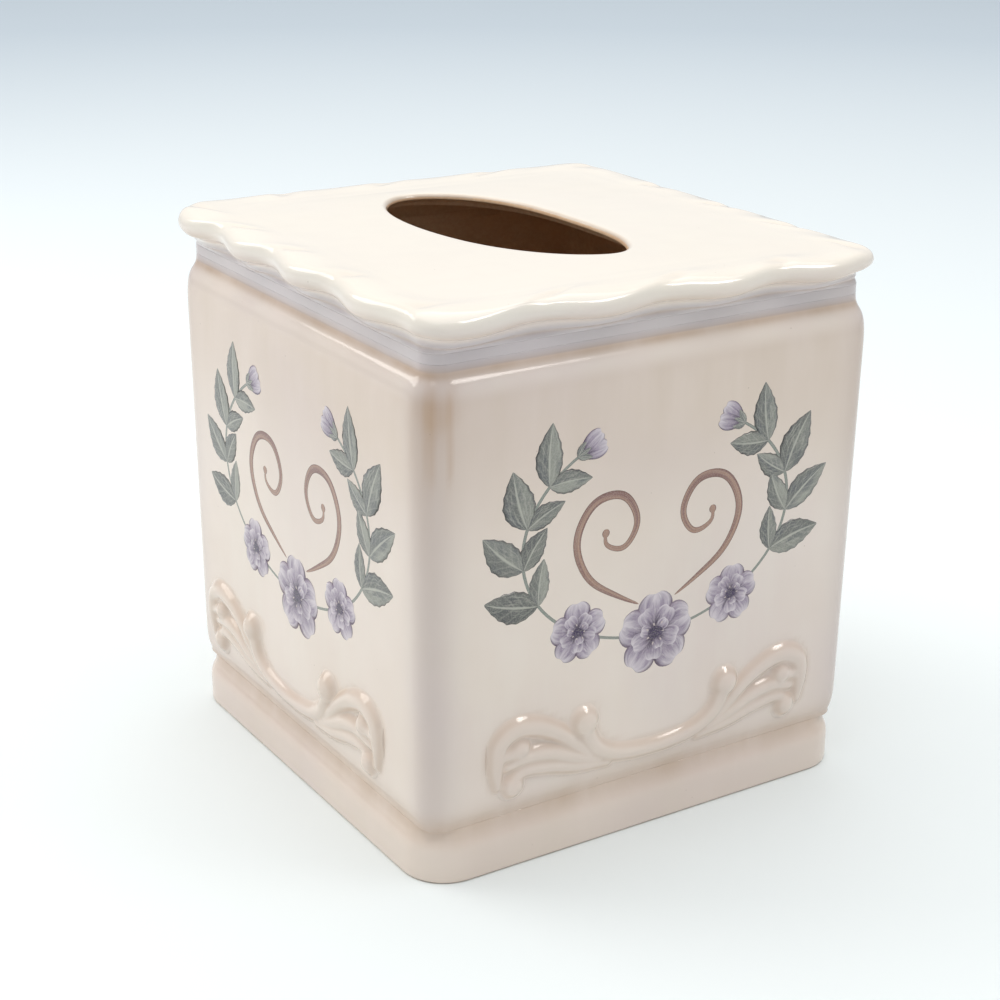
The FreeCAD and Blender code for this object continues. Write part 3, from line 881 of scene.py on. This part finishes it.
def fired_transfer():
    """Ceramic colours laid in brush marks: each has the stroke's own streaks, wet dark edges and a
    fine printed grain, under the same rippled gloss as the glaze."""
    made, tree, place = new_material("painted_fired_transfer")
    kind, along, across, tone = [held(tree, name) for name in ("kind", "along", "across", "tone")]

    def sum_of(first, second, factor):
        return worked_out(tree, "MULTIPLY_ADD", second, factor, first)

    def brushed(run, breadth):
        """Streaks that run along the stroke and differ from one stroke to the next."""
        spot = add_node(tree, "ShaderNodeCombineXYZ", {
            0: sum_of(0.0, along, run), 1: sum_of(0.0, across, breadth), 2: sum_of(0.0, tone, 41.0)})
        return patches(tree, spot, 1.0, 3.0, 0.6)

    off_middle = worked_out(tree, "ABSOLUTE", across)
    streaks = brushed(1.6, 3.6)
    fine_streaks = brushed(3.0, 9.0)
    washes = brushed(2.2, 1.1)
    loose_across = sum_of(across, streaks, 0.9)
    loose_edge = sum_of(off_middle, fine_streaks, 0.25)
    veins = worked_out(tree, "SINE", sum_of(sum_of(0.0, along, 34.0), off_middle, -11.0))

    leaf = layered(tree, linear("#98998F"), (
        (loose_across, 0.25, 0.65, 0, 1, "#6F716C"),
        (washes, 0.46, 0.66, 0, 0.75, "#585C62"),
        (tone, 0.3, 1.0, 0, 0.7, "#4C4F4D"),
        (fine_streaks, 0.52, 0.72, 0, 0.6, "#B6B5A8"),
        (veins, 0.55, 1.0, 0, 0.2, "#BAB9AC"),
        (loose_edge, 0.92, 1.1, 0, 0.75, "#47494B"),
        (off_middle, 0.03, 0.1, 0.75, 0, "#C0BFB2")))
    from_base = sum_of(along, streaks, 0.55)
    before_tip = spread(tree, along, 0.9, 0.97, 0.7, 0.0)
    rim_line = worked_out(tree, "MULTIPLY", spread(tree, loose_edge, 0.95, 1.12), before_tip)
    petal = layered(tree, linear("#94859B"), (
        (streaks, 0.34, 0.66, 0, 1, "#BDB0BD"),
        (tone, 0.3, 1.0, 0, 0.6, "#77677F"),
        (from_base, 0.9, 1.24, 0, 1, "#DAD0D6"),
        (fine_streaks, 0.56, 0.7, 0, 0.55, "#E6DEE0"),
        (rim_line, 0, 1, 0, 1, "#7C6A84"),
        (from_base, 0.52, 0.86, 1, 0, "#44334F")))
    heart = layered(tree, linear("#2E213F"), (
        (streaks, 0.4, 0.62, 0, 1, "#4D3B60"),
        (tone, 0, 1, 0, 1, "#CDBDBA")))
    scroll = layered(tree, linear("#B08C78"), (
        (washes, 0.42, 0.6, 0, 1, "#855F58"),
        (fine_streaks, 0.5, 0.66, 0, 0.6, "#C8A792"),
        (loose_edge, 0.72, 1.0, 0, 0.85, "#6E4A41")))
    stem = layered(tree, linear("#8C9188"), ((loose_edge, 0.6, 1.0, 0, 1, "#5A615E"),))
    colour = leaf
    for number, other in enumerate((petal, heart, scroll, stem), 1):
        colour = blend_colours(tree, spread(tree, kind, number - 0.6, number - 0.4), colour, other)

    grain = patches(tree, place, 0.35 * mm, 1.0)
    colour = layered(tree, colour, ((grain, 0.4, 0.75, 0, 0.22, "#D8CCC4"),))
    fired_surface(tree, colour, 0.12, glass_index, rippled(tree, place))
    return made


def brush_mark(name, half_at, bend=0.0, notch=0.0, rows=18, columns=8):
    """A thin closed lens one long and one wide, pointing to +X: half_at gives half its width along
    it, bend curves it and notch draws in the middle of its tip."""
    points, lengths, breadths, faces = [], [], [], []
    for level in (1, 0):
        for row in range(rows + 1):
            t = (1 - math.cos(math.pi * row / rows)) / 2
            for column in range(columns + 1):
                a = 2 * column / columns - 1
                x = t - notch * t ** 6 * bell(a * half_at(t), 0.16)
                y = a * half_at(t) + bend * math.sin(math.pi * t)
                swell = math.sqrt(1 - a * a) * min(1, 8 * half_at(t))
                points.append((x, y, (mark_thickness + mark_sunk) * swell * level - mark_sunk))
                lengths.append(t)
                breadths.append(a)
    row_size = columns + 1
    level_size = (rows + 1) * row_size
    for level in (0, 1):
        for row in range(rows):
            for column in range(columns):
                start = level * level_size + row * row_size + column
                faces.append((start, start + row_size, start + row_size + 1, start + 1)[::1 - 2 * level])
    mesh = bpy.data.meshes.new(name)
    mesh.from_pydata(points, [], faces)
    store(mesh, "along", lengths)
    store(mesh, "across", breadths)
    outward(mesh)
    return show(name, mesh)


def leaf_half(t):
    """Half the width of a leaf, with a slightly toothed edge."""
    return 0.5 * math.sin(math.pi * t ** 0.8) ** 0.9 * (1 + 0.05 * math.sin(40 * t))


def petal_half(t):
    """Half the width of a petal, widest and blunt towards its tip."""
    return 0.5 * math.sin(math.pi * t ** 1.5) ** 0.55 if 0 < t < 1 else 0.0


def heart_half(t):
    """Half the width of a round blossom heart."""
    return math.sqrt(t * (1 - t))


def garland_tree():
    """Geometry nodes: lays each kind of brush mark on its points, and draws the long strokes."""
    tree, given = new_tree("painted_garland", {
        "Marks": "Geometry", **dict.fromkeys(kinds, "Object"), "Stroke lift": "Float",
        "Material": "Material"}, "Print")

    def noted(shape, name, value, data_type="FLOAT"):
        return add_node(tree, "GeometryNodeStoreNamedAttribute", {
            "Geometry": shape, "Name": name, "Value": value}, data_type=data_type).outputs[0]

    stored = {}
    for label, data_type in (("kind", "INT"), ("turn", "FLOAT"), ("size", "FLOAT_VECTOR")):
        found = add_node(tree, "GeometryNodeInputNamedAttribute", {"Name": label}, data_type=data_type)
        stored[label] = found.outputs["Attribute"]
    turned = add_node(tree, "ShaderNodeCombineXYZ", {2: stored["turn"]})
    rotation = add_node(tree, "FunctionNodeEulerToRotation", {0: turned})
    joined = add_node(tree, "GeometryNodeJoinGeometry")
    for number, kind in enumerate(kinds[:3]):
        motif = add_node(tree, "GeometryNodeObjectInfo", {"Object": given[kind]}).outputs["Geometry"]
        chosen = add_node(tree, "FunctionNodeCompare", {2: stored["kind"], 3: number},
                          data_type="INT", operation="EQUAL")
        laid = add_node(tree, "GeometryNodeInstanceOnPoints", {
            "Points": given["Marks"], "Selection": chosen, "Instance": motif, "Rotation": rotation,
            "Scale": stored["size"]})
        tree.links.new(laid.outputs[0], joined.inputs[0])
    place = add_node(tree, "GeometryNodeInputPosition")
    split = add_node(tree, "ShaderNodeSeparateXYZ", {0: place}).outputs
    ring = add_node(tree, "GeometryNodeCurvePrimitiveCircle", {"Resolution": 14, "Radius": 1.0})
    ring = noted(ring, "across", split[0])
    flat = worked_out(tree, "MULTIPLY", split[1], given["Stroke lift"])
    squashed = add_node(tree, "ShaderNodeCombineXYZ", {0: split[0], 1: flat})
    ring = add_node(tree, "GeometryNodeSetPosition", {"Geometry": ring, "Position": squashed})
    radius = add_node(tree, "GeometryNodeInputRadius")
    factor = add_node(tree, "GeometryNodeSplineParameter").outputs["Factor"]
    for number, kind in enumerate(kinds[3:], 3):
        drawn = add_node(tree, "GeometryNodeObjectInfo", {"Object": given[kind]}).outputs["Geometry"]
        drawn = noted(drawn, "along", factor)
        drawn = add_node(tree, "GeometryNodeSetCurveNormal", {"Curve": drawn}, mode="Z_UP")
        drawn = add_node(tree, "GeometryNodeCurveToMesh", {
            "Curve": drawn, "Profile Curve": ring, "Scale": radius, "Fill Caps": True})
        tree.links.new(noted(drawn, "kind", number, "INT"), joined.inputs[0])
    hand_out(tree, joined, given["Material"])
    return tree


def on_garland(turn):
    """A spot on the oval, so far round from its foot, and the angle in which the vine grows there."""
    spot = Vector((garland_half_width * math.sin(turn),
                   garland_middle_z - garland_half_height * math.cos(turn)))
    side = math.copysign(1, turn)
    grows = math.atan2(garland_half_height * math.sin(turn) * side,
                       garland_half_width * math.cos(turn) * side)
    return spot, grows


def stroke(name, lines, half_width, ends, knob=0.0):
    """Poly lines whose width swells from the ends to the middle, some with a round knob at the tip."""
    curve = bpy.data.curves.new(name, "CURVE")
    curve.dimensions = "3D"
    for line in lines:
        spline = curve.splines.new("POLY")
        spline.points.add(len(line) - 1)
        run = [0.0]
        for place, following in zip(line, line[1:]):
            run.append(run[-1] + math.dist(place, following))
        for point, place, gone in zip(spline.points, line, run):
            left = run[-1] - gone
            point.co = (place[0], place[1], 0.0, 1.0)
            swell = ends + (1 - ends) * abs(math.sin(math.pi * gone / run[-1])) ** 0.6
            disc = math.sqrt(max(0.0, knob ** 2 - (left - knob) ** 2))
            point.radius = max(disc, half_width * swell if left >= knob else 0.0)
    return show(name, curve)


def garland_marks():
    """A point for each leaf, petal and heart, which holds its kind, turn, size and tone. The hand that
    laid them is never quite even. The lifts, hundredths of a millimetre, say which mark lies over which."""
    hand = random.Random(11)
    marks = []

    def mark(kind, place, lift, turn, length, width, tone):
        marks.append((kinds.index(kind), (place[0], place[1], lift), turn, (length, width, 1.0), tone))

    unit = garland_half_width
    for side in (1, -1):
        for index in range(leaf_pairs):
            turn = first_leaves + (garland_end - first_leaves) * index / leaf_pairs
            spot, grows = on_garland(side * turn)
            for way, share in ((-side, 1.0), (side, inner_leaf_share)):
                spread_by = math.radians(40 + hand.uniform(-5, 5)) * way
                size = share * unit * hand.uniform(0.95, 1.04)
                mark("leaf", spot, (0.018 + 0.004 * index) * mm, grows + spread_by, leaf_length_share * size,
                     leaf_width_share * size * hand.uniform(0.9, 1.08), hand.random())
        spot, grows = on_garland(side * garland_end)
        base = spot - Vector((math.cos(grows), math.sin(grows))) * 0.076 * unit
        for tilt in (-14, 12):
            mark("petal", base, (0.05 + 0.001 * tilt) * mm, grows + math.radians(tilt), 0.23 * unit,
                 0.125 * unit, hand.random())
        for tilt in (-34, 0, 32):
            mark("leaf", base, 0.07 * mm, grows + math.radians(tilt), 0.11 * unit, 0.05 * unit, 0.3)
    for side, share in ((0, big_blossom_share), (1, small_blossom_share), (-1, small_blossom_share)):
        spot = on_garland(side * small_blossom_turn)[0]
        wide = share * unit
        for layer, (petals, reach, breadth) in enumerate(petal_layer_shares):
            for index in range(petals):
                heading = math.radians(90 + 36 * layer + 360 / petals * index + hand.uniform(-4, 4))
                mark("petal", spot, (0.034 + 0.018 * layer + 0.003 * index) * mm, heading,
                     wide * reach * hand.uniform(0.96, 1.0), wide * breadth * hand.uniform(0.94, 1.04),
                     hand.random() * 0.7 + 0.15 * layer)
        mark("heart", spot - Vector((wide * 0.2, 0)), 0.1 * mm, 0.0, wide * 0.4, wide * 0.36, 0.0)
        for index in range(7):
            heading = 2 * math.pi * index / 7
            tip = Vector((math.cos(heading), math.sin(heading))) * wide * hand.uniform(0.15, 0.22)
            mark("heart", spot + tip, 0.103 * mm, heading, wide * 0.07, wide * 0.045, 1.0)
    mesh = bpy.data.meshes.new("marks")
    mesh.from_pydata([row[1] for row in marks], [], [])
    store(mesh, "kind", [row[0] for row in marks], "INT")
    store(mesh, "turn", [row[2] for row in marks])
    store(mesh, "size", [number for row in marks for number in row[3]], "FLOAT_VECTOR", "vector")
    store(mesh, "tone", [row[4] for row in marks])
    return mesh


def tendril_lines():
    """The pair of tendrils, each a smooth run of points."""
    root = on_garland(0.0)[0] + Vector((0.40, 0.72)) * big_blossom_share * garland_half_width
    run = [tuple(root)]
    run += [(x * garland_half_width, garland_middle_z + z * garland_half_height) for x, z in curl_shares]
    run = np.array(through(run, 24))
    reach = 13
    softly = np.hanning(2 * reach + 1)
    softly /= softly.sum()
    ends = np.vstack([np.repeat(run[:1], reach, 0), run, np.repeat(run[-1:], reach, 0)])
    run = np.stack([np.convolve(ends[:, axis], softly, "valid") for axis in (0, 1)], 1).tolist()
    return [run, [(-x, z) for x, z in run]]


def flat_print():
    """The whole garland on a flat face, as one mesh."""
    vine = [on_garland(garland_end * (step / 40 - 1) or 0.001)[0] for step in range(81)]
    sources = dict(zip(kinds, (
        brush_mark("leaf", leaf_half, bend=0.07),
        brush_mark("petal", petal_half, notch=0.09),
        brush_mark("heart", heart_half, rows=10),
        stroke("scroll", tendril_lines(), tendril_half_width, 0.3, knob=tendril_knob),
        stroke("stem", [vine], vine_half_width, 0.6))))
    whole = made_by(show("marks", garland_marks()), garland_tree(), {
        **sources, "Stroke lift": 0.03, "Material": transfer})
    for source in sources.values():
        bpy.data.objects.remove(source)
    outward(whole)
    return whole


transfer = fired_transfer()
garland = flat_print()
for turn, side in enumerate(sides):
    fired = laid_on_wall("garland_" + side, garland, turn)
    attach(fired, "root")
    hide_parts("print_" + side)
bpy.data.meshes.remove(garland)


# The stage: a plain white table under the cover, which falls away to a pale blue-grey and fills the
# view from the photograph's angle. No part of the cover.
floor_reach = 6.0


def table_top():
    """Matt white card, cooler and darker the further it lies from the cover."""
    made, tree, place = new_material("pale_table")
    away = add_node(tree, "ShaderNodeVectorMath", {0: place}, operation="LENGTH").outputs["Value"]
    colour = layered(tree, linear("#EFF5F6"), ((away, 0.3, 1.6, 0, 1, "#CFDAE3"),))
    shader = add_node(tree, "ShaderNodeBsdfDiffuse", {"Color": colour})
    add_node(tree, "ShaderNodeOutputMaterial", {"Surface": shader})
    return made


floor_corners = [(x * floor_reach, y * floor_reach, 0) for x, y in ((-1, -1), (1, -1), (1, 1), (-1, 1))]
floor_mesh = bpy.data.meshes.new("table")
floor_mesh.from_pydata(floor_corners, [], [(0, 1, 2, 3)])
floor_mesh.materials.append(table_top())
floor = show("table", floor_mesh)


# The light: a wide softbox overhead and a window on either side, in a pale tent. The gleam of the
# right window shows in the gloss alone and adds no other light.
def soft_lamp(name, place, aim, width, height, power, colour):
    """A rectangular softbox that hangs at a place and faces another."""
    lamp = bpy.data.lights.new(name, "AREA")
    lamp.shape = "RECTANGLE"
    lamp.size = width
    lamp.size_y = height
    lamp.energy = power
    lamp.color = linear(colour)[:3]
    hung = show(name, lamp)
    hung.location = place
    hung.rotation_euler = (Vector(aim) - Vector(place)).to_track_quat("-Z", "Y").to_euler()
    return hung


soft_lamp("overhead", (0.0, 0.3, 2.5), (0, 0.3, 0), 4.0, 4.0, 75.0, "#FFFDFA")
soft_lamp("right_window", (0.55, -0.6, 0.92), (0, 0, 0.12), 0.45, 0.13, 0.9, "#FFFAF4")
soft_lamp("left_window", (-0.6, 0.7, 0.6), (0, 0, 0.12), 0.7, 0.35, 2.6, "#FFFAF4")
gleam = soft_lamp("window_gleam", (0.57, -0.57, 0.93), (0, 0, 0.12), 0.5, 0.3, 3.2, "#FFFAF4")
gleam.visible_diffuse = False

# The tent looks paler, to the eye and in the glaze, than the light that it gives
world = bpy.data.worlds.new("pale_tent")
bpy.context.scene.world = world
world.use_nodes = True
tent = world.node_tree
tent.nodes.clear()
rays = add_node(tent, "ShaderNodeLightPath")
seen = worked_out(tent, "MAXIMUM", rays.outputs["Is Camera Ray"], rays.outputs["Is Glossy Ray"])
air = add_node(tent, "ShaderNodeBackground", {
    "Color": linear("#F0F4F8"), "Strength": spread(tent, seen, 0, 1, 0.445, 0.75)})
add_node(tent, "ShaderNodeOutputWorld", {"Surface": air})


# The camera: a little above the rim, with the front corner towards it, and level but for a slight
# roll. Its place and lens fit the outlines that the photograph shows.
camera_azimuth = math.radians(-32.55)
camera_height_angle = math.radians(20.71)
camera_roll = math.radians(0.52)
camera_distance = 568.5 * mm
camera_target = Vector((-3.09, 1.94, 71.04)) * mm
camera_lens = 71.38

camera_data = bpy.data.cameras.new("camera")
camera_data.lens = camera_lens
camera_data.sensor_width = 36.0
camera_data.clip_start = 0.01
camera_data.clip_end = 50.0
camera = show("camera", camera_data)
swung = Matrix.Rotation(camera_azimuth, 4, "Z")
raised = Matrix.Rotation(math.pi / 2 - camera_height_angle, 4, "X")
rolled = Matrix.Rotation(camera_roll, 4, "Z")
drawn_back = Matrix.Translation((0, 0, camera_distance))
camera.matrix_world = Matrix.Translation(camera_target) @ swung @ raised @ rolled @ drawn_back
bpy.context.scene.camera = camera
bpy.context.scene.view_settings.view_transform = "Standard"
